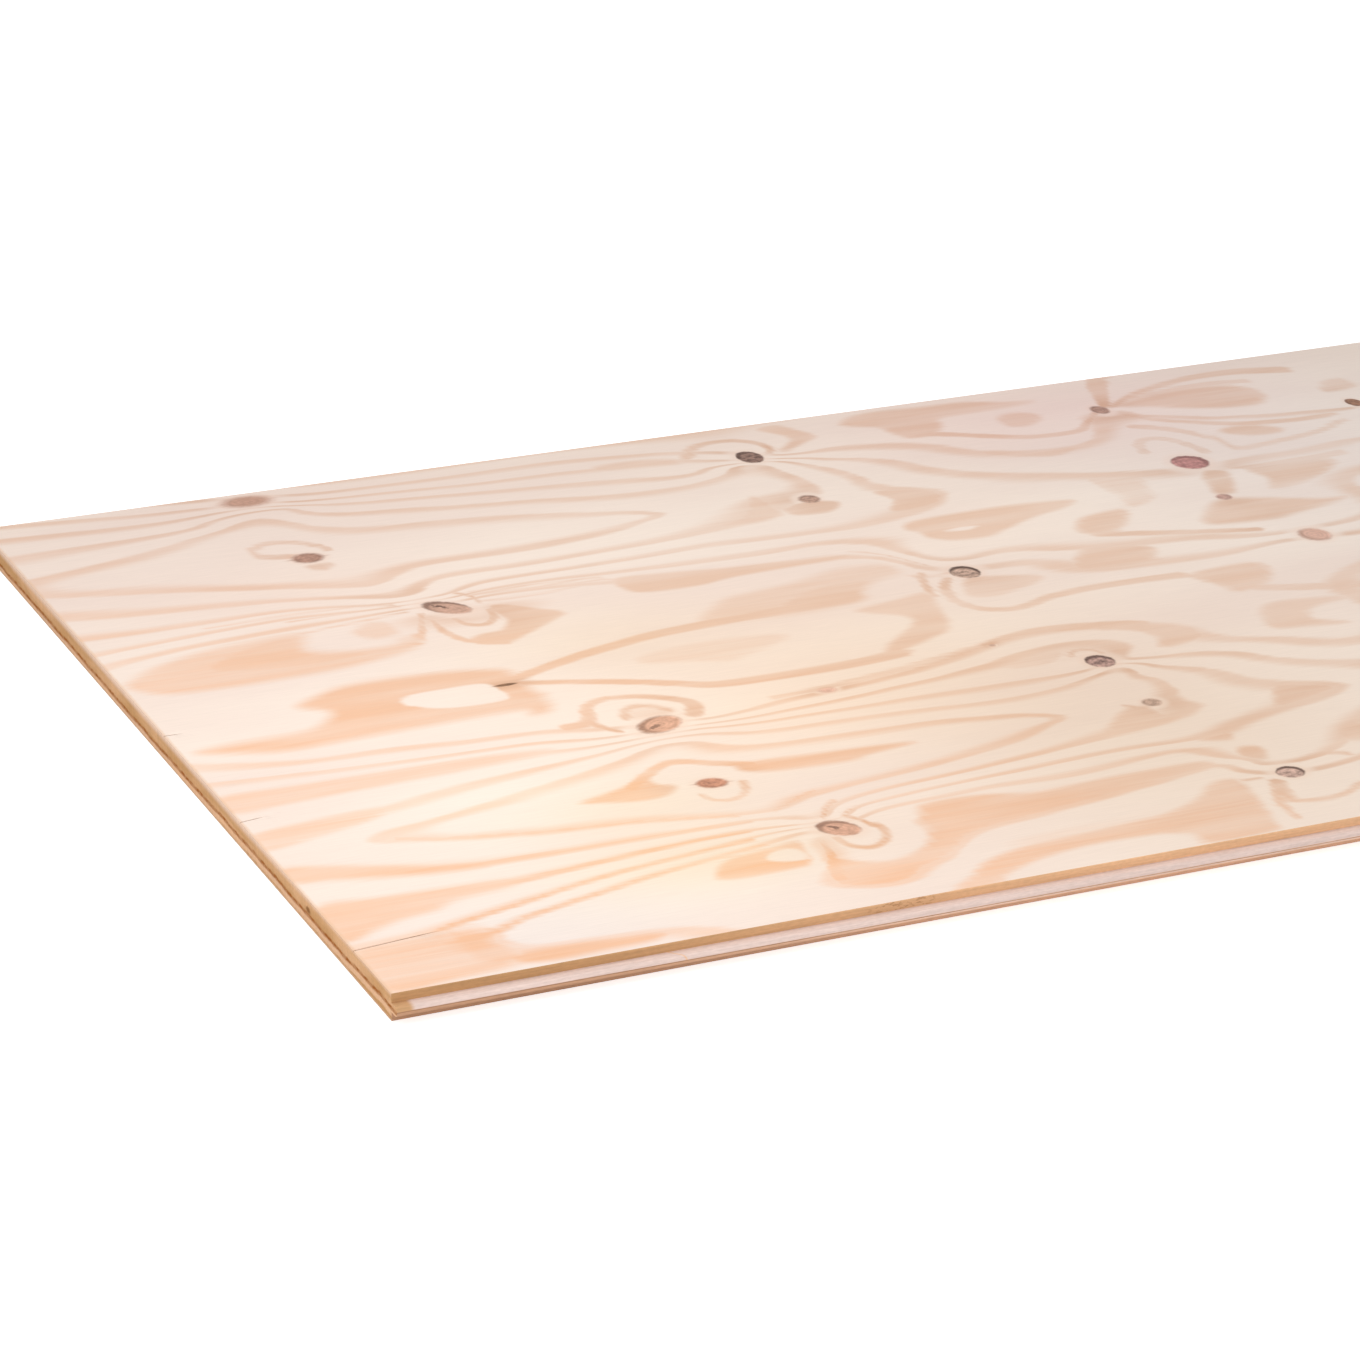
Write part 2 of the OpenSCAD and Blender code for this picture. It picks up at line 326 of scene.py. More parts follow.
# Latewood strokes round the knots: half width at the start and at the end, strength, then points.
STROKES = [
    (4, 5, 1, (347, 768), (352, 750), (368, 742), (382, 755), (388, 778)),
    (4, 5, 1, (327, 775), (325, 745), (332, 715), (348, 697), (368, 688)),
    (4, 4, 1, (290, 718), (303, 740), (312, 765), (322, 792)),
    (2.5, 2, 1, (372, 836), (380, 828), (386, 814), (384, 800)),
    (2.5, 2, 1, (482, 176), (489, 164), (491, 150)),
    (2, 2, 0.9, (478, 178), (488, 188), (498, 193)),
    (7, 5, 0.58, (262, 1002), (240, 1007), (230, 1019), (234, 1038), (250, 1047), (272, 1043), (292, 1027),
        (302, 1007)),
    (9, 5, 0.8, (340, 463), (356, 465), (366, 478), (371, 496), (382, 510), (400, 516)),
    (4, 9, 0.8, (398, 516), (425, 510), (448, 496), (462, 482), (466, 468), (458, 449)),
    (6, 3, 0.8, (362, 468), (368, 451), (379, 435)),
    (4, 9, 0.52, (540, 455), (600, 461), (650, 468), (720, 482), (760, 492)),
    (4, 4, 0.7, (396, 462), (402, 480), (416, 487), (432, 478), (440, 465)),
    (3.5, 4, 0.9, (452, 138), (456, 119), (472, 109), (489, 119), (497, 137), (496, 152)),
    (3, 7, 1, (438, 138), (434, 115), (426, 88), (417, 62)),
    (6, 6, 1, (335, 309), (362, 333), (392, 350), (425, 333), (455, 318)),
    (2, 4, 0.66, (386, 272), (390, 258), (403, 251), (418, 256), (427, 268), (431, 284)),
    (7, 10, 1, (335, 592), (360, 604), (400, 620), (430, 631), (450, 637), (500, 650), (550, 656),
        (605, 660), (650, 662)),
    (5, 10, 1, (342, 583), (385, 568), (430, 548), (470, 527), (505, 508), (560, 504), (640, 505),
        (700, 513)),
    (4, 4, 0.8, (798, 640), (804, 670), (815, 702)),
    (8, 6, 0.8, (1035, 735), (1080, 719), (1130, 702), (1190, 684)),
    (5, 6, 0.66, (832, 678), (821, 662), (814, 640), (811, 618), (816, 602)),
    (5, 8, 0.7, (816, 602), (828, 586), (850, 577), (876, 582), (905, 593), (960, 600), (1050, 596)),
    (1.5, 1.5, 0.9, (802, 702), (808, 694), (822, 691), (842, 693)),
    (1.5, 1.5, 0.7, (782, 790), (806, 768), (820, 742), (833, 718)),
    (4, 4, 0.5, (862, 94), (856, 76), (853, 58)),
    (1.5, 2, 0.7, (387, 832), (420, 830), (470, 826), (520, 821)),
    (1.5, 2, 0.6, (390, 824), (430, 821), (480, 816), (520, 812)),
    (2.5, 2, 0.6, (392, 803), (420, 800), (460, 801), (495, 807)),
    (1.5, 1.5, 0.6, (120, 838), (190, 841), (255, 839), (305, 829)),
    (1.5, 1.5, 0.7, (195, 823), (250, 825), (310, 821)),
    (1.5, 1.5, 0.8, (150, 785), (200, 788), (230, 793), (265, 798), (312, 804)),
    (5, 3, 0.72, (75, 98), (125, 112), (160, 121), (200, 133), (250, 145), (300, 153), (350, 160),
        (385, 164)),
    (5, 3, 0.72, (118, 75), (150, 92), (200, 107), (250, 121), (300, 133), (350, 143), (390, 150)),
    (6, 3, 0.7, (165, 162), (220, 169), (280, 176), (340, 181), (390, 182)),
    (6, 3, 0.66, (120, 211), (200, 206), (280, 205), (350, 203), (400, 201)),
    (5, 3, 0.64, (108, 287), (150, 270), (200, 257), (250, 247), (300, 240), (350, 229), (395, 217)),
    (3, 4, 0.66, (428, 214), (445, 222), (462, 233), (480, 240)),
    (2.5, 4, 0.8, (461, 183), (467, 193), (474, 203), (485, 212)),
    (3, 12, 0.8, (690, 466), (750, 486), (805, 508), (850, 513), (900, 504), (940, 490)),
    (8, 10, 0.6, (1105, 530), (1135, 520), (1160, 512), (1200, 500)),
    (3, 2, 0.8, (825, 308), (833, 303)),
    (3, 2, 0.7, (834, 110), (850, 109)),
    (3, 2, 0.7, (1198, 645), (1205, 641)),
    (3, 3, 0.6, (842, 440), (850, 452), (865, 450), (873, 437)),
    (4, 4, 0.7, (858, 100), (845, 75), (836, 50), (834, 20)),
    (4, 4, 0.7, (862, 95), (852, 75), (850, 54), (880, 46), (905, 52), (925, 65)),
    (3, 3, 0.6, (900, 130), (920, 137), (945, 132), (955, 122)),
    (7, 4, 0.8, (752, 1130), (765, 1154), (790, 1167), (820, 1164), (840, 1146), (845, 1122),
        (838, 1110)),
    (8, 5, 0.8, (1030, 1098), (1060, 1080), (1095, 1058), (1130, 1045), (1180, 1045), (1205, 1070),
        (1225, 1092)),
    (6, 13, 0.9, (1248, 1112), (1258, 1137), (1270, 1167), (1290, 1208)),
    (4, 12, 0.8, (1258, 1108), (1300, 1138), (1350, 1157), (1400, 1167), (1450, 1165), (1500, 1150)),
    (4, 7, 0.52, (1255, 1104), (1300, 1122), (1340, 1134), (1390, 1139), (1440, 1130)),
    (6, 7, 0.7, (1252, 1078), (1272, 1050), (1310, 1020), (1350, 998), (1410, 985), (1460, 985)),
    (6, 6, 0.5, (1208, 950), (1214, 975), (1232, 990), (1252, 980), (1264, 952), (1268, 925)),
    (7, 6, 0.6, (1240, 1035), (1272, 1010), (1292, 980), (1303, 950), (1308, 922), (1350, 925),
        (1420, 940), (1460, 962)),
    (6, 8, 0.6, (1265, 872), (1290, 862), (1340, 862), (1400, 866)),
]

# Knots: middle (u, v), half size along u and v, turn in degrees, display colour, then the look (dark rim,
# dark core, streak along the grain) and the marks (mottling, side of the rim in degrees, softness).
KNOTS = [
    (274, 1181, 25, 16, 0, (199, 156, 136), 0.05, 0.0, 0.6, 0.15, 200, 0.4),
    (275, 990, 16, 14, 0, (180, 139, 121), 0.15, 0.0, 1.0, 0.4, 0, 0.25),
    (351, 800, 26, 15, -46, (204, 163, 142), 0.55, 0.9, 0.0, 0.3, 150, 0.12),
    (327, 585, 11, 3, 0, (140, 104, 76), 0.3, 0.0, 0.8, 0.5, 0, 0.3),
    (418, 437, 24, 17, 30, (224, 174, 145), 0.42, 0.6, 0.2, 0.3, 140, 0.18),
    (405, 292, 14, 11, -10, (200, 143, 115), 0.2, 0.1, 1.0, 0.5, 240, 0.2),
    (463, 157, 20, 15, -48, (214, 166, 140), 0.45, 0.7, 0.0, 0.3, 150, 0.12),
    (813, 1105, 14, 20, 0, (141, 111, 99), 0.4, 0.2, 0.0, 1.0, 120, 0.1),
    (812, 954, 11, 12, 0, (192, 155, 136), 0.3, 0.0, 0.5, 0.6, 90, 0.25),
    (857, 689, 15, 18, 0, (192, 160, 142), 0.85, 0.4, 0.0, 0.8, 65, 0.1),
    (860, 418, 14, 16, 0, (172, 138, 126), 0.7, 0.2, 0.0, 1.2, 80, 0.1),
    (852, 306, 9, 9, 0, (195, 163, 142), 0.15, 0.0, 0.3, 0.4, 180, 0.25),
    (881, 111, 13, 13, 0, (202, 168, 152), 0.8, 0.3, 0.0, 0.7, 55, 0.1),
    (1236, 1101, 10, 14, 0, (182, 143, 129), 0.2, 0.0, 0.0, 0.4, 150, 0.2),
    (1235, 901, 20, 22, 0, (192, 138, 133), 0.4, 0.0, 0.0, 0.5, 40, 0.1),
    (1210, 787, 8, 9, 0, (200, 161, 148), 0.1, 0.0, 0.0, 0.3, 0, 0.25),
    (1234, 647, 16, 19, 0, (224, 182, 163), 0.25, 0.0, 0.0, 0.15, 200, 0.2),
    (1508, 1012, 9, 14, 0, (164, 122, 100), 0.25, 0.0, 0.0, 0.6, 180, 0.1),
    (787, 496, 3, 3, 0, (205, 168, 146), 0.0, 0.0, 0.0, 0.3, 0, 0.5),
    (594, 453, 8, 6, 0, (228, 182, 158), 0.0, 0.0, 0.0, 0.3, 0, 0.6),
]

# Broad tints of the veneer, partly its own tone and partly painted light and shade: middle (u, v), reach
# along u and v, display colour that white wood takes there.
# A value of 255 leaves that part of the colour as it is, and a little over 255 lightens it.
TINTS_AND_LIGHT = [
    (800, 250, 280, 300, (243, 238, 231)),
    (600, 500, 250, 200, (255, 250, 243)),
    (450, 660, 130, 90, (255, 254, 248)),
    (130, 1100, 260, 150, (249, 246, 247)),
    (1180, 1110, 260, 130, (254, 245, 248)),
    (1400, 900, 300, 300, (256, 260, 265)),
    (960, 820, 160, 90, (259, 259, 258)),
    (540, 400, 150, 90, (259, 258, 255)),
    (210, 335, 110, 45, (255, 263, 263)),
    (330, 140, 130, 60, (255, 254, 241)),
    (330, 270, 110, 70, (255, 254, 245)),
    (230, 900, 150, 70, (254, 251, 250)),
    (150, 60, 130, 90, (249, 252, 257)),
]

# Splits in from the sawn end: v at the end, rise over the split, length, depth.
SPLITS = [
    (374, 5, 28, 1.6),
    (88, 9, 76, 1.8),
    (590, 0, 20, 1.0),
]


def display(red, green, blue):
    """Linear colour for display values of 0 to 255, by the sRGB curve."""
    value = np.array([red, green, blue]) / 255.0
    linear = np.where(value <= 0.04045, value / 12.92, ((value + 0.055) / 1.055) ** 2.4)
    return tuple(float(part) for part in linear)


def tone(red, green, blue, words):
    """Colour property with a display colour as its default."""
    return bpy.props.FloatVectorProperty(
        name=words, description=words + " of the wood", subtype="COLOR", size=3,
        min=0.0, max=1.0, default=display(red, green, blue))


def length_of(value, words, detail):
    """Length property in metres."""
    return bpy.props.FloatProperty(
        name=words, description=detail, default=value, unit="LENGTH", subtype="DISTANCE", precision=5)


class PlywoodShape(bpy.types.PropertyGroup):
    """Sizes of the sheet's section, matched to the solid."""
    cover_width: length_of(1.208, "Cover width", "Width of the upper face without the tongue")
    tongue_reach: length_of(0.012, "Tongue reach", "How far the tongue stands out of the upper lip")
    tongue_height: length_of(0.008, "Tongue height", "Thickness of the tongue")
    nose_radius: length_of(0.0035, "Nose radius", "Rounding of the tongue's nose")
    lower_setback: length_of(0.0006, "Lower setback", "How far the lip under the tongue stands back")
    groove_end_room: length_of(0.0008, "Groove end room", "Room behind a tongue that is pushed home")
    cheek_room: length_of(0.00025, "Cheek room", "Room between the tongue and each cheek")
    mouth_bevel: length_of(0.001, "Mouth bevel", "Bevel at the mouth of the groove")
    arris_bevel: length_of(0.0005, "Arris bevel", "Bevel that eases the long edges")


class PlywoodTones(bpy.types.PropertyGroup):
    """Colours of the veneers, knots and edges."""
    cream: tone(250, 233, 219, "Pale earlywood")
    blush: tone(245, 225, 212, "Rosy earlywood")
    tan: tone(235, 200, 176, "Latewood")
    honey: tone(246, 193, 154, "Warm latewood")
    resin: tone(216, 170, 138, "Dark latewood beside the knots")
    knot_dark: tone(66, 46, 38, "Bark and cracks of the knots")
    lip: tone(195, 150, 106, "Tongue edge's lip")
    lip_light: tone(237, 190, 148, "Light part of the lip")
    ledge: tone(230, 206, 196, "Ledge of the tongue")
    nose: tone(198, 153, 122, "Underside of the tongue")
    nose_light: tone(240, 195, 164, "Light part of the underside")
    glue: tone(128, 80, 40, "Glue line")
    sawn: tone(203, 155, 104, "Sawn end")
    sawn_pink: tone(230, 188, 152, "Rosy ply of the sawn end")
    # Paler upper edge of the sawn end: partly wear, partly a painted highlight of its rounded arris.
    sawn_pale_highlight: tone(246, 216, 196, "Worn upper edge of the sawn end, with painted highlight")
    seam: tone(160, 92, 34, "Torn seam of the sawn end")
    # Greyish lowest ply: painted shade along the bottom edge of the sawn end.
    sawn_rim_shade: tone(216, 178, 148, "Lowest ply of the sawn end, greyed with painted shade")


class PlywoodStudio(bpy.types.PropertyGroup):
    """Camera and light of the studio."""
    lens: bpy.props.FloatProperty(
        name="Lens", description="Focal length on a 36 mm sensor", default=115.206, subtype="DISTANCE_CAMERA")
    camera_place: bpy.props.FloatVectorProperty(
        name="Camera place", description="Where the camera stands", default=(-2.2529, -3.5110, 1.4801),
        size=3, subtype="TRANSLATION", unit="LENGTH")
    heading: bpy.props.FloatProperty(
        name="Heading", description="Turn of the view from +Y towards +X", default=23.71,
        min=-180.0, max=180.0)
    pitch: bpy.props.FloatProperty(
        name="Pitch", description="How far the view looks down", default=21.16, min=-90.0, max=90.0)
    sky: bpy.props.FloatProperty(
        name="Sky", description="Strength of the even light from all round", default=0.638, min=0.0)
    key: bpy.props.FloatProperty(
        name="Key lamp", description="Power of the soft lamp over the near corner", default=11.3,
        min=0.0, subtype="POWER")
    fill: bpy.props.FloatProperty(
        name="Fill lamp", description="Power of the low lamp that lights the near edges", default=40.0,
        min=0.0, subtype="POWER")


def face_u(x):
    """Millimetres along the length, from the left end."""
    return (x - LOW[0]) / MM


def face_v(y, shape):
    """Millimetres across the face, from the upper lip of the tongue edge."""
    return (y - LOW[1] - shape.tongue_reach) / MM


def hidden_side(u, v):
    """True past a slanting line across the sheet, where the near figure is repeated turned half round."""
    return u > FAR_LINE_START + FAR_LINE_SLANT * v


def half_turned(points):
    """The points turned half round the face's middle, and which of them lie on the hidden side."""
    twins = np.array([FACE_LENGTH, FACE_WIDTH]) - points
    return twins, hidden_side(twins[:, 0], twins[:, 1])


def ring_points():
    """Every ring point of the whole sheet and its level."""
    points = np.array([spot for line in RING_LINES for spot in line[1:]], float)
    levels = np.array([line[0] for line in RING_LINES for spot in line[1:]], float)
    twins, used = half_turned(points)
    return np.concatenate([points, twins[used]]), np.concatenate([levels, levels[used]])


def whole_sheet(shapes, skip):
    """Shapes of the near side and the half-turned twins that lie on the hidden side."""
    out = []
    for item in shapes:
        points = np.array(item[skip:], float)
        out.append((item[:skip], points))
        twins, used = half_turned(points)
        if used.all():
            out.append((item[:skip], twins))
    return out


def all_knots():
    """Rows of KNOTS for the whole sheet, with the colour's three linear parts at the end of each row."""
    near = np.array([(*row[:5], *row[6:], *display(*row[5])) for row in KNOTS])
    twins, used = half_turned(near[:, :2])
    far = near[used].copy()
    far[:, :2] = twins[used]
    return np.concatenate([near, far])


def plate_kernel(squares):
    """Thin plate kernel, r squared times log r, from squared distances."""
    return 0.5 * squares * np.log(squares + 1e-9)


def ring_field(u, v):
    """Ring level at (u, v).

    A thin plate surface through the drawn points: a plane plus a weighted sum of
    r squared log r, with distances along the grain counted at less than half.
    """
    stretch = np.array([PLATE_GRAIN, 1.0]) / PLATE_LENGTH
    points, levels = ring_points()
    knots = points * stretch
    count = len(knots)
    squares = ((knots[:, None, :] - knots[None, :, :]) ** 2).sum(-1)
    plane = np.column_stack([np.ones(count), knots])
    system = np.zeros((count + 3, count + 3))
    system[:count, :count] = plate_kernel(squares) + PLATE_EASE * np.eye(count)
    system[:count, count:] = plane
    system[count:, :count] = plane.T
    weights = np.linalg.solve(system, np.concatenate([levels, np.zeros(3)]))
    spots = np.column_stack([u, v]) * stretch
    level = np.empty(len(spots))
    for part in np.array_split(np.arange(len(spots)), max(1, len(spots) // PLATE_BATCH)):
        near = spots[part]
        squares = ((near[:, None, :] - knots[None, :, :]) ** 2).sum(-1)
        level[part] = plate_kernel(squares) @ weights[:count] + weights[count] + near @ weights[count + 1:]
    return level


def smooth_path(points, closed, steps=5):
    """Catmull-Rom curve through the points: each stretch is a cubic set by its four nearest points."""
    if closed:
        before, start, end, after = (np.roll(points, turn, axis=0) for turn in (1, 0, -1, -2))
    else:
        ends = np.concatenate([points[:1], points, points[-1:]])
        before, start, end, after = ends[:-3], ends[1:-2], ends[2:-1], ends[3:]
    t = (np.arange(steps) / steps)[None, :, None]
    before, start, end, after = (part[:, None, :] for part in (before, start, end, after))
    curve = 0.5 * (2 * start + (end - before) * t + (2 * before - 5 * start + 4 * end - after) * t ** 2
                   + (3 * start - before - 3 * end + after) * t ** 3)
    curve = curve.reshape(-1, 2)
    last = curve[:1] if closed else points[-1:]
    return np.concatenate([curve, last])


def path_distance(spots, path):
    """Distance from each spot to the path, and how far along the path its nearest point lies (0 to 1)."""
    start, run = path[:-1], np.diff(path, axis=0)
    square = np.maximum((run ** 2).sum(-1), 1e-9)
    gap = spots[:, None, :] - start[None, :, :]
    share = np.clip((gap * run).sum(-1) / square, 0.0, 1.0)
    distance = np.sqrt(((gap - share[..., None] * run) ** 2).sum(-1))
    nearest = distance.argmin(axis=1)
    rows = np.arange(len(spots))
    return distance[rows, nearest], (nearest + share[rows, nearest]) / len(run)


def inside_path(spots, path):
    """True inside the closed path, by counting its crossings on a ray along u."""
    start, end = path[:-1], path[1:]
    u, v = spots[:, :1], spots[:, 1:]
    spans = (start[:, 1] > v) != (end[:, 1] > v)
    rise = np.where(end[:, 1] == start[:, 1], 1e-9, end[:, 1] - start[:, 1])
    crossing = start[:, 0] + (v - start[:, 1]) * (end[:, 0] - start[:, 0]) / rise
    return ((spans & (u < crossing)).sum(axis=1) % 2).astype(bool)


def depth_inside(spots, path):
    """Distance from each spot to the closed path, counted below zero outside it."""
    distance = path_distance(spots, path)[0]
    return np.where(inside_path(spots, path), distance, -distance)


def close_to(u, v, path, margin):
    """Indexes of the spots in the path's box widened by the margin."""
    low, high = path.min(axis=0) - margin, path.max(axis=0) + margin
    return np.nonzero((u > low[0]) & (u < high[0]) & (v > low[1]) & (v < high[1]))[0]


def figure_field(u, v):
    """Depth of the broad latewood figure: -1 in pale wood, 0 on an edge, 1 well inside.

    Each patch gives its signed distance over its softness, each stroke its half width less
    the distance to its path; the largest wins, and pale islands then cut into it.
    """
    depth = np.full(len(u), PALE_DEPTH)
    spots = np.column_stack([u, v])
    for (soft, top), points in whole_sheet(TAN_PATCHES, 2):
        path = smooth_path(points, True)
        near = close_to(u, v, path, PATCH_EDGE * soft)
        share = depth_inside(spots[near], path) / (PATCH_EDGE * soft)
        depth[near] = np.maximum(depth[near], np.clip(share, -1.0, top * 2.0 - 1.0))
    for (first, last, strength), points in whole_sheet(STROKES, 3):
        path = smooth_path(points, False)
        near = close_to(u, v, path, max(first, last) + STROKE_EDGE)
        distance, along = path_distance(spots[near], path)
        share = (first + (last - first) * along - distance) / STROKE_EDGE
        depth[near] = np.maximum(depth[near], np.clip(share, -1.0, strength * 2.0 - 1.0))
    for (soft,), points in whole_sheet(PALE_ISLANDS, 1):
        path = smooth_path(points, True)
        near = close_to(u, v, path, soft)
        share = depth_inside(spots[near], path) / soft
        depth[near] = np.minimum(depth[near], -np.clip(share, -1.0, 1.0))
    return depth


def knot_field(u, v):
    """Where each spot lies from its nearest knot, and that knot's look.

    The offset is counted in the knot's own half sizes and turned with it. Its third part is its length.
    """
    rows = all_knots()
    middle_u, middle_v, half_u, half_v, turn = rows[:, :KNOT_COLUMNS[0]].T
    angle = np.radians(turn)
    gap_u = u[:, None] - middle_u
    gap_v = v[:, None] - middle_v
    along = (gap_u * np.cos(angle) + gap_v * np.sin(angle)) / half_u
    across = (gap_v * np.cos(angle) - gap_u * np.sin(angle)) / half_v
    reach = np.hypot(along, across)
    nearest = reach.argmin(axis=1)
    pick = (np.arange(len(u)), nearest)
    offset = np.column_stack([along[pick], across[pick], np.minimum(reach[pick], KNOT_FAR)])
    look, marks, hue = np.split(rows[nearest], KNOT_COLUMNS, axis=1)[1:]
    mottle, side, soft = marks.T
    side = np.radians(side)
    rim_side = np.column_stack([np.cos(side), np.sin(side), mottle])
    return {"knot_offset": offset, "knot_look": look, "knot_side": rim_side,
            "knot_hue": hue, "knot_soft": soft}


def tint_and_light_field(u, v):
    """Product of the broad tints, partly wood tone and partly painted light and shade: each fades from its
    colour at the middle to white as a bell curve.
    """
    tint = np.ones((len(u), 3))
    for middle_u, middle_v, reach_u, reach_v, colour in TINTS_AND_LIGHT:
        bell = np.exp(-((u - middle_u) / reach_u) ** 2 - ((v - middle_v) / reach_v) ** 2)
        tint *= 1.0 + (np.array(display(*colour)) - 1.0) * bell[:, None]
    return tint


def split_shade_field(u, v):
    """Painted shade in the splits: 1 on the line of a split where it is open, 0 away from it."""
    dark = np.zeros(len(u))
    for start, rise, length, _ in SPLITS:
        line = start + rise * np.clip(u / length, 0.0, 1.0)
        open_part = np.clip((length - u) / SPLIT_RUN_OUT, 0.0, 1.0)
        dark = np.maximum(dark, open_part * (np.abs(v - line) < SPLIT_LINE))
    return dark


def straight(start, end, count):
    """Points from start up to but not including end, evenly spaced."""
    share = (np.arange(count) / count)[:, None]
    return np.array(start) * (1 - share) + np.array(end) * share


def bend(middle, radius, first, last, count):
    """Points on an arc about the middle from the first to the last angle, without the last point."""
    angle = np.radians(first + (last - first) * np.arange(count) / count)
    return np.column_stack([middle[0] + radius * np.cos(angle), middle[1] + radius * np.sin(angle)])


def section_outline(shape):
    """Closed outline of the sheet's section in (y, z), and the kind of surface that starts at each point.

    The outline runs from the upper face's back edge to the tongue, down over its nose, along the underside
    and up through the groove.
    """
    top = HIGH[2]
    lip = LOW[1] + shape.tongue_reach
    back = lip + shape.cover_width
    foot = lip + shape.lower_setback
    ease = shape.arris_bevel
    middle = top / 2
    half = shape.tongue_height / 2
    nose = shape.nose_radius
    hollow = half + shape.cheek_room
    deep = back - shape.tongue_reach - shape.groove_end_room
    round_in = nose + shape.cheek_room
    mouth = shape.mouth_bevel
    front = LOW[1]
    parts = [
        (UPPER, straight((back - ease, top), (lip + ease, top), UPPER_ROWS)),
        (EDGE, straight((lip + ease, top), (lip, top - ease), 1)),
        (EDGE, straight((lip, top - ease), (lip, middle + half), 5)),
        (EDGE, straight((lip, middle + half), (front + nose, middle + half), 5)),
        (EDGE, bend((front + nose, middle + half - nose), nose, 90, 180, 7)),
        (EDGE, straight((front, middle + half - nose), (front, middle - half + nose), 2)),
        (EDGE, bend((front + nose, middle - half + nose), nose, 180, 270, 7)),
        (EDGE, straight((front + nose, middle - half), (foot, middle - half), 3)),
        (EDGE, straight((foot, middle - half), (foot, ease), 4)),
        (EDGE, straight((foot, ease), (foot + ease, 0), 1)),
        (UNDER, straight((foot + ease, 0), (back - ease, 0), UNDER_ROWS)),
        (EDGE, straight((back - ease, 0), (back, ease), 1)),
        (EDGE, straight((back, ease), (back, middle - hollow - mouth), 3)),
        (EDGE, straight((back, middle - hollow - mouth), (back - mouth, middle - hollow), 1)),
        (EDGE, straight((back - mouth, middle - hollow), (deep + round_in, middle - hollow), 2)),
        (EDGE, bend((deep + round_in, middle - hollow + round_in), round_in, 270, 180, 5)),
        (EDGE, straight((deep, middle - hollow + round_in), (deep, middle + hollow - round_in), 1)),
        (EDGE, bend((deep + round_in, middle + hollow - round_in), round_in, 180, 90, 5)),
        (EDGE, straight((deep + round_in, middle + hollow), (back - mouth, middle + hollow), 2)),
        (EDGE, straight((back - mouth, middle + hollow), (back, middle + hollow + mouth), 1)),
        (EDGE, straight((back, middle + hollow + mouth), (back, top - ease), 3)),
        (EDGE, straight((back, top - ease), (back - ease, top), 1)),
    ]
    outline = np.concatenate([points for kind, points in parts])
    kinds = np.concatenate([np.full(len(points), kind) for kind, points in parts])
    return outline, kinds


def stations():
    """Places along the length, closest together in the rows of knots and wider on the far half."""
    stretches = [(0, 30, 5), (30, 300, 10), (300, 510, 5), (510, 790, 10), (790, 930, 5), (930, 1180, 10),
                 (1180, 1290, 5.5), (1290, 1640, 12.5), (1640, 2440, 16)]
    places = [np.arange(first, last - 0.01, step) for first, last, step in stretches]
    return LOW[0] + np.concatenate(places + [np.array([FACE_LENGTH])]) * MM


def split_rows(grid, kinds, shape):
    """Opens the splits: the rows beside each one close up on it, and its own row drops and runs out."""
    u = face_u(grid[:, :, 0])
    v = face_v(grid[:, :, 1], shape)
    face = np.nonzero(kinds == UPPER)[0]
    for start, rise, length, deep in SPLITS:
        row = face[np.abs(v[0, face] - start - rise / 2).argmin()]
        fade = np.clip((length + SPLIT_FADE - u[:, 0]) / SPLIT_FADE, 0.0, 1.0)
        aim = start + rise * np.clip(u[:, 0] / length, 0.0, 1.0)
        for step in (-1, 0, 1):
            place = v[:, row + step] * (1 - fade) + (aim - step * SPLIT_GAP) * fade
            grid[:, row + step, 1] = place * MM + LOW[1] + shape.tongue_reach
        drop = deep * np.clip((length - u[:, 0]) / length, 0.0, 1.0) ** 0.5
        grid[:, row, 2] = grid[:, row, 2] - drop * MM
    return grid


def sheet_surface(shape):
    """Points P(i, j): the section's point j carried to station i along the length, with the splits opened."""
    outline, kinds = section_outline(shape)
    along = stations()
    grid = np.empty((len(along), len(outline), 3))
    grid[:, :, 0] = along[:, None]
    grid[:, :, 1:] = outline[None, :, :]
    return split_rows(grid, kinds, shape), kinds


def fibre_shift(u, v):
    """Small shift along the grain that differs from fibre to fibre, so that the figure's ends are combed."""
    dice = np.random.default_rng(COMB_SEED)
    table = dice.uniform(-1.0, 1.0, (UPPER_ROWS + 1, COMB_CELLS + 2))
    row = np.clip((v / FACE_WIDTH * UPPER_ROWS).round().astype(int), 0, UPPER_ROWS)
    place = np.clip(u / FACE_LENGTH, 0.0, 1.0) * COMB_CELLS
    cell = place.astype(int)
    share = place - cell
    return (table[row, cell] * (1 - share) + table[row, cell + 1] * share) * COMB_SWAY


def put_attribute(mesh, name, kind, values):
    """Stores one value for each point of the mesh."""
    layer = mesh.attributes.new(name, kind, "POINT")
    key = "value" if kind == "FLOAT" else "vector"
    layer.data.foreach_set(key, np.ascontiguousarray(values, dtype=np.float32).ravel())


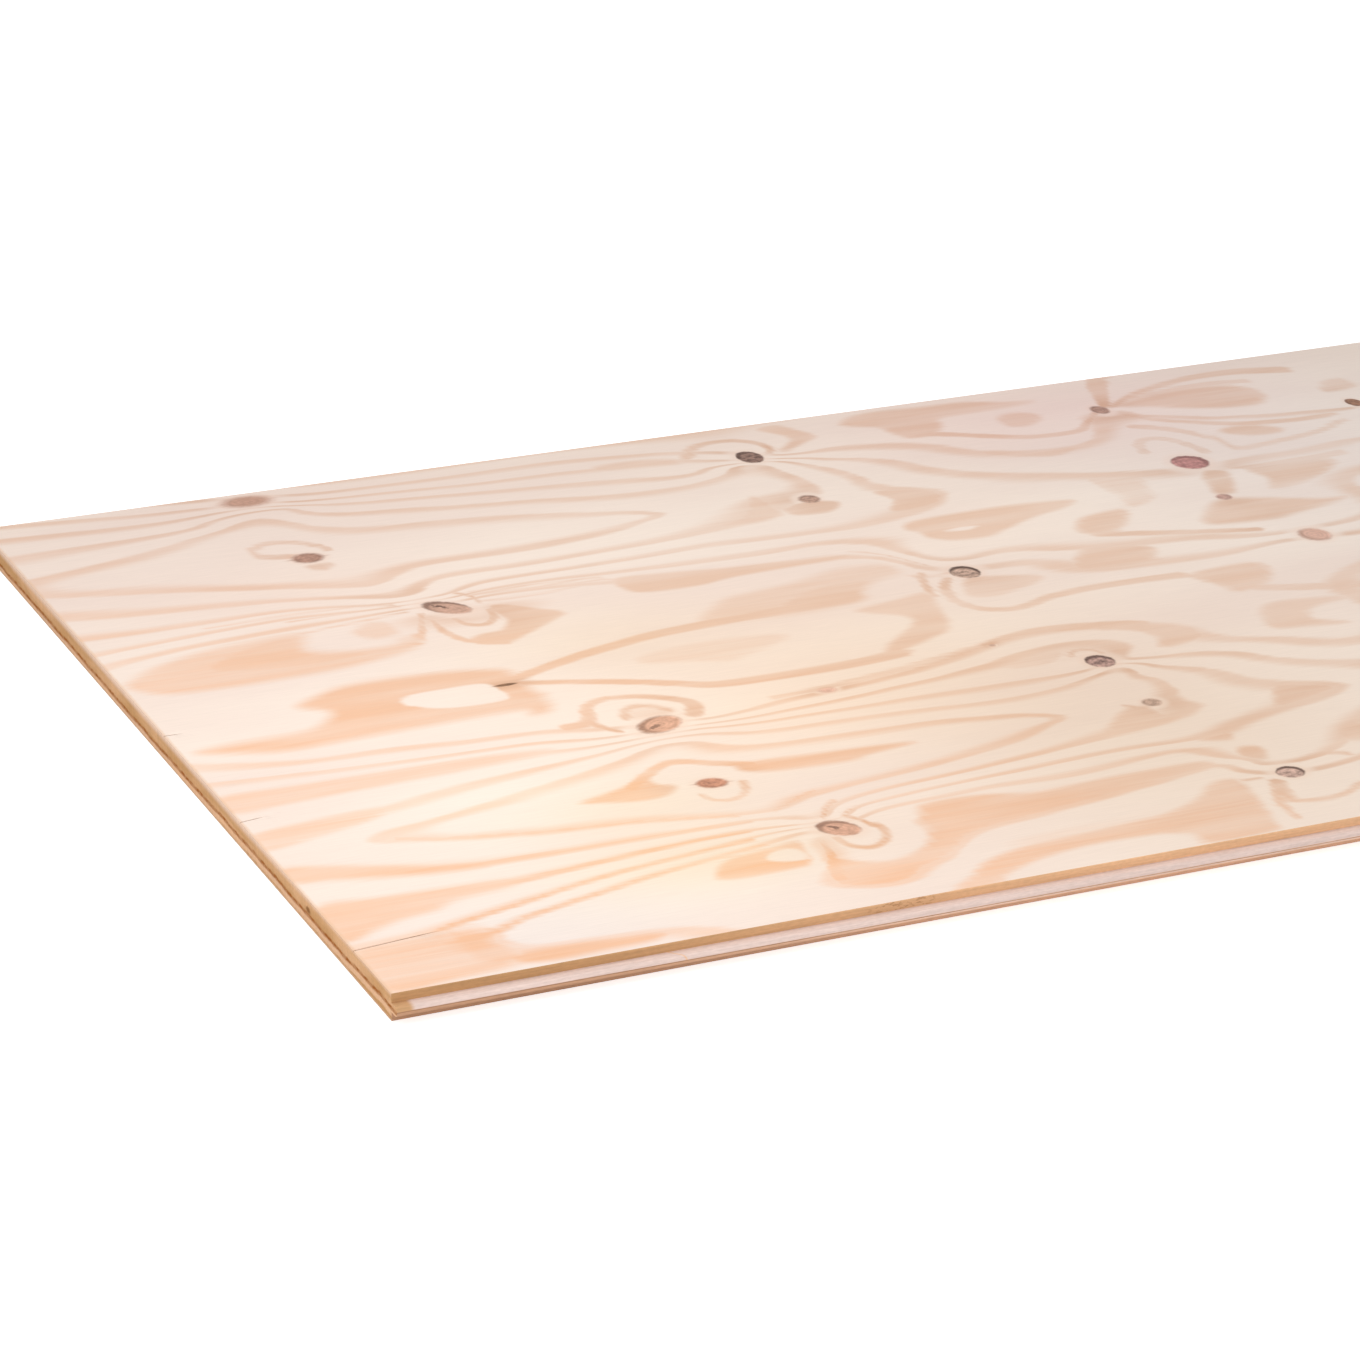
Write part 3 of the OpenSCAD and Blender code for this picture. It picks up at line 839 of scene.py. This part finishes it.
def sheet_mesh(shape):
    """Closed mesh of the sheet with the veneers' ring level, figure and knots stored on its points."""
    grid, kinds = sheet_surface(shape)
    rows, ring = grid.shape[:2]
    index = np.arange(rows * ring).reshape(rows, ring)
    ahead = np.roll(index, -1, axis=1)
    quads = np.stack([index[:-1], ahead[:-1], ahead[1:], index[1:]], axis=-1).reshape(-1, 4)
    faces = quads.tolist() + [index[0][::-1].tolist(), index[-1].tolist()]
    mesh = bpy.data.meshes.new("plywood_sheet_dressed")
    mesh.from_pydata(grid.reshape(-1, 3).tolist(), [], faces)
    round_slots = np.where(kinds == EDGE, EDGE_SLOT, VENEER_SLOT)
    slots = np.concatenate([np.tile(round_slots, rows - 1), [END_SLOT, END_SLOT]])
    mesh.polygons.foreach_set("material_index", slots.astype(np.int32))
    mesh.polygons.foreach_set("use_smooth", np.ones(len(slots), dtype=bool))
    u = face_u(grid[:, :, 0]).ravel()
    v = face_v(grid[:, :, 1], shape).ravel()
    under = np.tile(kinds == UNDER, rows)
    face_along = np.where(under, FACE_LENGTH - UNDER_START - UNDER_PACE * u, u)
    face_across = np.clip(v, 0.0, FACE_WIDTH)
    knots = knot_field(face_along, face_across)
    # Painted shade along the open splits of the upper face.
    split = np.where(under, 0.0, split_shade_field(u, v))
    wood = np.nonzero(np.tile((kinds != EDGE) | (np.roll(kinds, 1) != EDGE), rows))[0]
    level = np.full(rows * ring, PALE_LEVEL)
    depth = np.full(rows * ring, PALE_DEPTH)
    reach = knots["knot_offset"][wood, 2]
    calm = np.clip((reach - KNOT_CALM) / (KNOT_FAR - KNOT_CALM), 0.0, 1.0)
    combed = face_along[wood] + calm * fibre_shift(face_along[wood], face_across[wood])
    level[wood] = ring_field(combed, face_across[wood])
    depth[wood] = figure_field(combed, face_across[wood])
    put_attribute(mesh, "ring_level", "FLOAT", level)
    put_attribute(mesh, "figure_depth", "FLOAT", depth)
    for name, values in knots.items():
        put_attribute(mesh, name, "FLOAT" if values.ndim == 1 else "FLOAT_VECTOR", values)
    put_attribute(mesh, "veneer_tint", "FLOAT_VECTOR", tint_and_light_field(face_along, face_across))
    put_attribute(mesh, "split_dark", "FLOAT", split)
    mesh.set_sharp_from_angle(angle=np.radians(SHARP_ANGLE))
    mesh.validate()
    mesh.update()
    return mesh


class Bench:
    """Adds shader nodes to a material and joins their sockets."""

    def __init__(self, name):
        self.material = bpy.data.materials.new(name)
        self.material.use_nodes = True
        self.tree = self.material.node_tree
        self.tree.nodes.clear()
        self.shader = self.node("ShaderNodeBsdfPrincipled")
        output = self.node("ShaderNodeOutputMaterial")
        self.tree.links.new(self.shader.outputs["BSDF"], output.inputs["Surface"])
        self.place = self.node("ShaderNodeTexCoord").outputs["Object"]

    def node(self, kind, **settings):
        made = self.tree.nodes.new(kind)
        for name, value in settings.items():
            setattr(made, name, value)
        return made

    def feed(self, socket, value):
        if isinstance(value, bpy.types.NodeSocket):
            self.tree.links.new(value, socket)
        elif isinstance(value, tuple) and len(value) == 3 and socket.type == "RGBA":
            socket.default_value = (*value, 1.0)
        else:
            socket.default_value = value

    def put(self, name, value):
        """Sets or joins an input of the material's shader."""
        self.feed(self.shader.inputs[name], value)

    def maths(self, operation, first, second=0.0, third=0.0):
        made = self.node("ShaderNodeMath", operation=operation)
        for socket, value in zip(made.inputs, (first, second, third)):
            self.feed(socket, value)
        return made.outputs[0]

    def times(self, first, second):
        return self.maths("MULTIPLY", first, second)

    def times_plus(self, first, second, third):
        return self.maths("MULTIPLY_ADD", first, second, third)

    def centred(self, noise):
        """Noise that swings about zero."""
        return self.maths("SUBTRACT", noise, 0.5)

    def ramp(self, value, low, high, to_low=0.0, to_high=1.0):
        made = self.node("ShaderNodeMapRange", interpolation_type="SMOOTHSTEP")
        for name, part in (("Value", value), ("From Min", low), ("From Max", high),
                           ("To Min", to_low), ("To Max", to_high)):
            self.feed(made.inputs[name], part)
        return made.outputs["Result"]

    def band(self, value, rise_start, rise_end, fall_start, fall_end):
        """1 between two soft edges of the value, 0 outside them."""
        return self.times(self.ramp(value, rise_start, rise_end), self.ramp(value, fall_end, fall_start))

    def noise(self, scale, detail, rough, shift=(0.0, 0.0, 0.0)):
        mapping = self.node("ShaderNodeMapping")
        made = self.node("ShaderNodeTexNoise")
        for node, name, value in (
                (mapping, "Vector", self.place), (mapping, "Scale", scale), (mapping, "Location", shift),
                (made, "Vector", mapping.outputs["Vector"]), (made, "Scale", 1.0),
                (made, "Detail", detail), (made, "Roughness", rough)):
            self.feed(node.inputs[name], value)
        return made.outputs["Fac"]

    def blend(self, share, first, second, mode="MIX"):
        made = self.node("ShaderNodeMix", data_type="RGBA", blend_type=mode)
        self.feed(made.inputs["Factor"], share)
        self.feed(made.inputs[6], first)
        self.feed(made.inputs[7], second)
        return made.outputs[2]

    def tinted(self, colour, by, share=1.0):
        return self.blend(share, colour, by, "MULTIPLY")

    def length(self, first, second):
        return self.maths("SQRT", self.times_plus(first, first, self.times(second, second)))

    def stored(self, name, part="Fac"):
        """A value that the mesh stores on its points."""
        return self.node("ShaderNodeAttribute", attribute_name=name).outputs[part]

    def split(self, vector):
        made = self.node("ShaderNodeSeparateXYZ")
        self.feed(made.inputs[0], vector)
        return made.outputs

    def bump(self, height, strength, distance):
        made = self.node("ShaderNodeBump")
        made.inputs["Strength"].default_value = strength
        made.inputs["Distance"].default_value = distance
        self.feed(made.inputs["Height"], height)
        return made.outputs["Normal"]


def veneer_material(tones):
    """Rotary-cut face: ring lines from the ring level, broad figure, knots, fibres, tints partly of painted
    light and shade, and splits darkened with painted shade.
    """
    bench = Bench("softwood_face_veneer")
    fibre = bench.noise((5.0, 260.0, 60.0), 3.0, 0.6)
    hair = bench.noise((28.0, 1300.0, 200.0), 2.0, 0.6)
    cloud = bench.noise((1.6, 4.5, 1.0), 2.0, 0.5)
    sweep = bench.noise((3.0, 26.0, 1.0), 3.0, 0.55, (3.0, 7.0, 0.0))
    swing = bench.centred(fibre)
    along, across, reach = bench.split(bench.stored("knot_offset", "Vector"))
    level = bench.stored("ring_level")
    wavy = bench.times_plus(swing, 0.12, level)
    ring = bench.maths("FRACT", bench.maths("ADD", wavy, 0.5))
    line = bench.band(ring, 0.14, 0.46, 0.54, 0.7)
    line = bench.times(line, bench.ramp(sweep, 0.3, 0.7, 0.5, 0.85))
    line = bench.times(line, bench.ramp(reach, 1.2, 2.2, 0.25, 1.0))
    place = bench.split(bench.place)
    slant = bench.times_plus(place[1], 0.9, place[0])
    line = bench.times(line, bench.ramp(slant, -0.7, -1.3, 1.0, 0.68))
    depth = bench.stored("figure_depth")
    broad = bench.ramp(bench.times_plus(swing, 0.6, depth), -0.75, 0.75)
    broad = bench.times(broad, bench.ramp(sweep, 0.28, 0.72, 0.62, 1.12))
    late = bench.maths("MAXIMUM", line, broad)
    # Latewood turns warmer towards the near left corner: partly its own tone, partly painted warm light
    # there.
    warm_tone_and_light = bench.ramp(slant, -0.5, -1.4)
    pale = bench.blend(bench.ramp(cloud, 0.35, 0.65), tones.cream, tones.blush)
    deep = bench.blend(warm_tone_and_light, tones.tan, tones.honey)
    deep = bench.blend(bench.ramp(reach, 5.5, 1.2, 0.0, 0.6), deep, tones.resin)
    wood = bench.blend(late, pale, deep)
    streak = bench.ramp(hair, 0.25, 0.75, 0.96, 1.02)
    wood = bench.tinted(wood, streak)
    # Broad tints: partly the veneer's own tone, partly painted light and shade over the face.
    wood = bench.tinted(wood, bench.stored("veneer_tint", "Vector"))
    # Rosy band along the upper arris at the sawn end: partly wear, partly a painted highlight of the rounded
    # arris.
    worn_arris_highlight = bench.ramp(bench.times_plus(swing, 0.002, place[0]), -1.2165, -1.2198, 0.0, 0.55)
    wood = bench.blend(worn_arris_highlight, wood, tones.sawn_pink)
    rim_look, core_look, trail_look = bench.split(bench.stored("knot_look", "Vector"))
    side_u, side_v, mottle = bench.split(bench.stored("knot_side", "Vector"))
    soft = bench.stored("knot_soft")
    wobble = bench.noise((130.0, 150.0, 130.0), 3.0, 0.65)
    stir = bench.centred(wobble)
    radius = bench.length(along, across)
    ragged = bench.times_plus(stir, 0.22, radius)
    valid = bench.maths("LESS_THAN", reach, 3.0)
    inside = bench.ramp(ragged, bench.maths("ADD", soft, 1.0), bench.maths("SUBTRACT", 1.0, soft))
    inside = bench.times(inside, valid)
    knot = bench.stored("knot_hue", "Vector")
    spots = bench.times_plus(stir, bench.times(mottle, 3.0), 1.0)
    knot = bench.tinted(knot, spots)
    rings = bench.maths("SINE", bench.times(ragged, 23.0))
    knot = bench.tinted(knot, bench.ramp(rings, -1.0, 1.0, 0.94, 1.03))
    facing = bench.times_plus(along, side_u, bench.times(across, side_v))
    rim = bench.ramp(bench.times_plus(facing, 0.35, ragged), 0.7, 1.0)
    knot = bench.blend(bench.times(rim, rim_look), knot, tones.knot_dark)
    core = bench.length(bench.times_plus(along, 2.2, 0.55), bench.times(across, 4.5))
    core = bench.times_plus(stir, 2.2, core)
    heart = bench.times(bench.ramp(core, 0.95, 0.4), core_look)
    knot = bench.blend(bench.times(heart, 0.85), knot, tones.knot_dark)
    trail = bench.length(bench.times(along, 0.55), bench.times(across, 3.5))
    trail = bench.times(bench.ramp(trail, 1.0, 0.4), bench.times(trail_look, valid))
    wood = bench.blend(bench.times(trail, 0.45), wood, knot)
    halo = bench.times(bench.ramp(ragged, 1.7, 1.0), valid)
    wood = bench.tinted(wood, tones.honey, bench.times(halo, 0.12))
    wood = bench.blend(inside, wood, knot)
    # Painted shade in the open splits, in the glue line's colour.
    split = bench.stored("split_dark")
    wood = bench.blend(bench.ramp(split, 0.1, 0.8, 0.0, 0.9), wood, tones.glue)
    bench.put("Base Color", wood)
    dull = bench.times_plus(hair, 0.16, bench.ramp(late, 0.0, 1.0, 0.56, 0.48))
    bench.put("Roughness", dull)
    height = bench.times_plus(late, 0.35, hair)
    height = bench.times_plus(fibre, 0.4, height)
    height = bench.times_plus(bench.times(inside, wobble), -0.8, height)
    bench.put("Normal", bench.bump(height, 0.35, 0.00025))
    bench.put("Specular IOR Level", 0.1)
    return bench.material


def long_edge_material(tones):
    """Milled long edges: brown lips, a pale ledge with a slanting joint, a glue line that sinks along it."""
    bench = Bench("softwood_milled_edge")
    place = bench.split(bench.place)
    drift = bench.noise((2.5, 1.0, 1.0), 3.0, 0.6)
    fibre = bench.noise((14.0, 700.0, 700.0), 3.0, 0.6)
    speck = bench.noise((160.0, 500.0, 500.0), 2.0, 0.6)
    height = bench.times_plus(bench.centred(drift), 0.0012, place[2])
    height = bench.maths("SUBTRACT", height, bench.ramp(place[0], -1.2, -0.6, 0.0128, 0.0118))
    lip = bench.blend(bench.ramp(place[0], -1.15, -0.5), tones.lip, tones.lip_light)
    below = bench.blend(bench.ramp(place[0], -1.15, -0.55), tones.nose, tones.nose_light)
    end = bench.ramp(bench.times_plus(drift, 0.006, place[0]), -1.200, -1.206)
    ledge = bench.blend(bench.times(end, 0.9), tones.ledge, tones.sawn)
    joint = bench.maths("ADD", bench.times_plus(place[1], 0.9, place[0]), 1.522)
    seam = bench.ramp(bench.maths("ABSOLUTE", joint), 0.0012, 0.0004, 0.0, 0.8)
    ledge = bench.blend(seam, ledge, tones.lip_light)
    wood = bench.blend(bench.ramp(height, -0.0003, 0.0003), below, ledge)
    # Pale strip just under the glue line, away from the left end: a painted highlight on the rounding of the
    # nose.
    painted_nose_highlight = bench.band(height, -0.0021, -0.0017, -0.0011, -0.0008)
    painted_nose_highlight = bench.times(painted_nose_highlight, bench.ramp(place[0], -0.95, -0.65, 0.0, 0.7))
    wood = bench.blend(painted_nose_highlight, wood, tones.ledge)
    glue = bench.band(height, -0.0011, -0.0007, -0.0003, 0.0001)
    glue = bench.times(glue, bench.ramp(fibre, 0.3, 0.7, 0.3, 0.75))
    wood = bench.blend(glue, wood, tones.glue)
    wood = bench.blend(bench.ramp(place[2], 0.01605, 0.0163), wood, lip)
    chips = bench.band(place[0], -0.82, -0.79, -0.76, -0.72)
    chips = bench.times(chips, bench.ramp(speck, 0.5, 0.62, 0.0, 0.5))
    chips = bench.times(chips, bench.ramp(place[2], 0.016, 0.017))
    wood = bench.blend(chips, wood, tones.glue)
    wood = bench.tinted(wood, bench.ramp(fibre, 0.2, 0.8, 0.88, 1.06))
    wood = bench.tinted(wood, bench.ramp(speck, 0.3, 0.7, 0.94, 1.04))
    bench.put("Base Color", wood)
    bench.put("Roughness", bench.ramp(fibre, 0.2, 0.8, 0.62, 0.8))
    bench.put("Normal", bench.bump(bench.maths("ADD", fibre, speck), 0.5, 0.0003))
    bench.put("Specular IOR Level", 0.08)
    return bench.material


def sawn_end_material(tones):
    """Sawn ends: a tan ply with a pale upper edge, partly wear and partly a painted highlight of its
    rounding, over a torn brown seam that sinks towards the back.

    Below the seam lie a rosy ply and a light, greyish rim on the lowest ply, painted shade along the bottom
    edge. One dark scar crosses the seam near the front.
    """
    bench = Bench("softwood_sawn_end")
    place = bench.split(bench.place)
    drift = bench.noise((1.0, 24.0, 1.0), 3.0, 0.6)
    stain = bench.noise((1.0, 9.0, 60.0), 3.0, 0.6, (0.0, 4.0, 2.0))
    torn = bench.noise((1.0, 90.0, 260.0), 3.0, 0.7)
    speck = bench.noise((300.0, 900.0, 500.0), 2.0, 0.6)
    saw = bench.noise((1.0, 420.0, 30.0), 2.0, 0.5)
    height = bench.times_plus(bench.centred(drift), 0.0045, place[2])
    height = bench.times_plus(bench.centred(torn), 0.0034, height)
    height = bench.maths("ADD", height, bench.ramp(place[1], -0.57, -0.48, 0.0, 0.0025))
    height = bench.maths("ADD", height, bench.ramp(place[1], -0.3, 0.05, 0.0, 0.0028))
    upper = bench.blend(bench.ramp(stain, 0.35, 0.65, 0.0, 0.6), tones.sawn, tones.lip_light)
    lower = bench.blend(bench.ramp(stain, 0.3, 0.7), tones.sawn_pink, tones.lip_light)
    lower = bench.blend(bench.ramp(height, 0.0062, 0.0042), lower, tones.sawn)
    wood = bench.blend(bench.ramp(height, 0.0122, 0.0128), lower, upper)
    # Greyish rim on the lowest ply: painted shade along the bottom edge.
    wood = bench.blend(bench.ramp(place[2], 0.0024, 0.0012), wood, tones.sawn_rim_shade)
    # The upper edge pales towards the top: partly wear, partly a painted highlight of the rounded arris.
    high = bench.maths("SUBTRACT", place[2], bench.ramp(place[1], -0.5, -0.2, 0.004, 0.0))
    wood = bench.blend(bench.ramp(high, 0.0155, 0.0235, 0.0, 0.9), wood, tones.sawn_pale_highlight)
    glue = bench.band(height, 0.0092, 0.0114, 0.0126, 0.0150)
    glue = bench.times(glue, bench.ramp(torn, 0.62, 0.38, 0.6, 1.0))
    wood = bench.blend(glue, wood, tones.seam)
    beside = bench.times_plus(place[1], 0.5, 0.2)
    scar = bench.length(beside, bench.maths("SUBTRACT", place[2], 0.0142))
    scar = bench.times_plus(bench.centred(speck), 0.003, scar)
    wood = bench.blend(bench.ramp(scar, 0.004, 0.0014, 0.0, 0.8), wood, tones.glue)
    wood = bench.tinted(wood, bench.ramp(speck, 0.25, 0.75, 0.88, 1.06))
    wood = bench.tinted(wood, bench.ramp(saw, 0.3, 0.7, 0.94, 1.03))
    bench.put("Base Color", wood)
    bench.put("Roughness", bench.ramp(speck, 0.2, 0.8, 0.68, 0.85))
    bench.put("Normal", bench.bump(bench.maths("ADD", saw, speck), 0.5, 0.0004))
    bench.put("Specular IOR Level", 0.05)
    return bench.material


def setting_names(group):
    """Names of the group's own settings."""
    return [name for name in group.bl_rna.properties.keys() if name not in ("rna_type", "name")]


def plain_tones(tones):
    """The colour settings as plain tuples."""
    return SimpleNamespace(**{name: tuple(getattr(tones, name)) for name in setting_names(tones)})


def background_ray(tree):
    """1 on rays of the camera, of gloss and of glass, and 0 on every other ray."""
    path = tree.nodes.new("ShaderNodeLightPath")
    seen = path.outputs["Is Camera Ray"]
    for name in ("Is Glossy Ray", "Is Transmission Ray"):
        larger = tree.nodes.new("ShaderNodeMath")
        larger.operation = "MAXIMUM"
        tree.links.new(seen, larger.inputs[0])
        tree.links.new(path.outputs[name], larger.inputs[1])
        seen = larger.outputs["Value"]
    return seen


def floor_material():
    """Pale floor that the camera, gloss and glass see as white and that keeps the shadow."""
    bench = Bench("studio_floor")
    grain = bench.noise((3.0, 3.0, 3.0), 2.0, 0.5)
    shade = bench.ramp(grain, 0.3, 0.7, 0.985, 1.0)
    bench.put("Base Color", bench.tinted((0.94, 0.94, 0.94), shade))
    bench.put("Roughness", 0.9)
    bench.put("Specular IOR Level", 0.0)
    seen = background_ray(bench.tree)
    bench.put("Emission Color", (1.0, 1.0, 1.0, 1.0))
    place = bench.node("ShaderNodeVectorMath", operation="LENGTH")
    bench.feed(place.inputs[0], bench.place)
    away = bench.ramp(place.outputs["Value"], 1.6, 3.0, 0.66, 1.0)
    bench.put("Emission Strength", bench.times(seen, away))
    return bench.material


def studio_world(strength):
    """White to the camera, to gloss and to glass, an even soft light to everything else."""
    world = bpy.data.worlds.new("studio_sky")
    world.use_nodes = True
    tree = world.node_tree
    back = tree.nodes["Background"]
    back.inputs["Color"].default_value = (1.0, 1.0, 1.0, 1.0)
    mix = tree.nodes.new("ShaderNodeMapRange")
    mix.inputs["To Min"].default_value = strength
    mix.inputs["To Max"].default_value = 1.0
    tree.links.new(background_ray(tree), mix.inputs["Value"])
    tree.links.new(mix.outputs["Result"], back.inputs["Strength"])
    return world


def floor_mesh():
    """Flat floor: a square grid just under the sheet."""
    side = np.linspace(-FLOOR_HALF, FLOOR_HALF, 5)
    x, y = np.meshgrid(side, side, indexing="ij")
    points = np.column_stack([x.ravel(), y.ravel(), np.full(x.size, LOW[2] - FLOOR_DROP)])
    index = np.arange(x.size).reshape(x.shape)
    quads = np.stack([index[:-1, :-1], index[1:, :-1], index[1:, 1:], index[:-1, 1:]], axis=-1).reshape(-1, 4)
    mesh = bpy.data.meshes.new("studio_floor")
    mesh.from_pydata(points.tolist(), [], quads.tolist())
    mesh.update()
    return mesh


def add_lamp(name, place, target, size, power):
    """Square soft lamp at a place, turned towards a target."""
    data = bpy.data.lights.new(name, "AREA")
    data.shape = "SQUARE"
    data.size = size
    data.energy = power
    lamp = bpy.data.objects.new(name, data)
    bpy.context.scene.collection.objects.link(lamp)
    lamp.location = place
    lamp.rotation_euler = (Vector(target) - Vector(place)).to_track_quat("-Z", "Y").to_euler()


class PLYWOOD_OT_sheet(bpy.types.Operator):
    """Builds the dressed sheet that stands for the solid"""
    bl_idname = "plywood.sheet"
    bl_label = "Build sheet"

    def execute(self, context):
        tones = plain_tones(context.scene.plywood_tones)
        mesh = sheet_mesh(context.scene.plywood_shape)
        for material in (veneer_material(tones), long_edge_material(tones), sawn_end_material(tones)):
            mesh.materials.append(material)
        sheet = bpy.data.objects.new("plywood_sheet_dressed", mesh)
        context.scene.collection.objects.link(sheet)
        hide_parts(NODE)
        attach(sheet, "root")
        return {"FINISHED"}


class PLYWOOD_OT_studio(bpy.types.Operator):
    """Sets up the floor, the light and the camera"""
    bl_idname = "plywood.studio"
    bl_label = "Set up studio"

    def execute(self, context):
        scene = context.scene
        studio = scene.plywood_studio
        scene.view_settings.view_transform = "Standard"
        scene.world = studio_world(studio.sky)
        floor = bpy.data.objects.new("studio_floor", floor_mesh())
        floor.data.materials.append(floor_material())
        scene.collection.objects.link(floor)
        for name, place, target, size, power in LAMPS:
            add_lamp(name, place, target, size, getattr(studio, power))
        data = bpy.data.cameras.new("photo_camera")
        data.lens = studio.lens
        data.sensor_width = SENSOR_WIDTH
        data.sensor_fit = "HORIZONTAL"
        data.clip_end = FAR_CLIP
        camera = bpy.data.objects.new("photo_camera", data)
        scene.collection.objects.link(camera)
        camera.location = studio.camera_place
        camera.rotation_euler = Euler(
            (np.radians(90.0 - studio.pitch), 0.0, np.radians(-studio.heading)), "XYZ")
        scene.camera = camera
        return {"FINISHED"}


class PLYWOOD_PT_panel(bpy.types.Panel):
    """Lists the steps and the values"""
    bl_idname = "PLYWOOD_PT_panel"
    bl_label = "Plywood sheet"
    bl_space_type = "VIEW_3D"
    bl_region_type = "UI"
    bl_category = "Plywood"

    def draw(self, context):
        layout = self.layout
        layout.operator("plywood.sheet")
        layout.operator("plywood.studio")
        for key in GROUPS:
            group = getattr(context.scene, key)
            box = layout.box()
            for name in setting_names(group):
                box.prop(group, name)


GROUPS = {"plywood_shape": PlywoodShape, "plywood_tones": PlywoodTones, "plywood_studio": PlywoodStudio}
CLASSES = (*GROUPS.values(), PLYWOOD_OT_sheet, PLYWOOD_OT_studio, PLYWOOD_PT_panel)


def register():
    for cls in CLASSES:
        bpy.utils.register_class(cls)
    for key, group in GROUPS.items():
        setattr(bpy.types.Scene, key, bpy.props.PointerProperty(type=group))


def unregister():
    for key in GROUPS:
        delattr(bpy.types.Scene, key)
    for cls in reversed(CLASSES):
        bpy.utils.unregister_class(cls)


def main():
    register()
    bpy.ops.plywood.sheet()
    bpy.ops.plywood.studio()


if __name__ == "__main__":
    main()
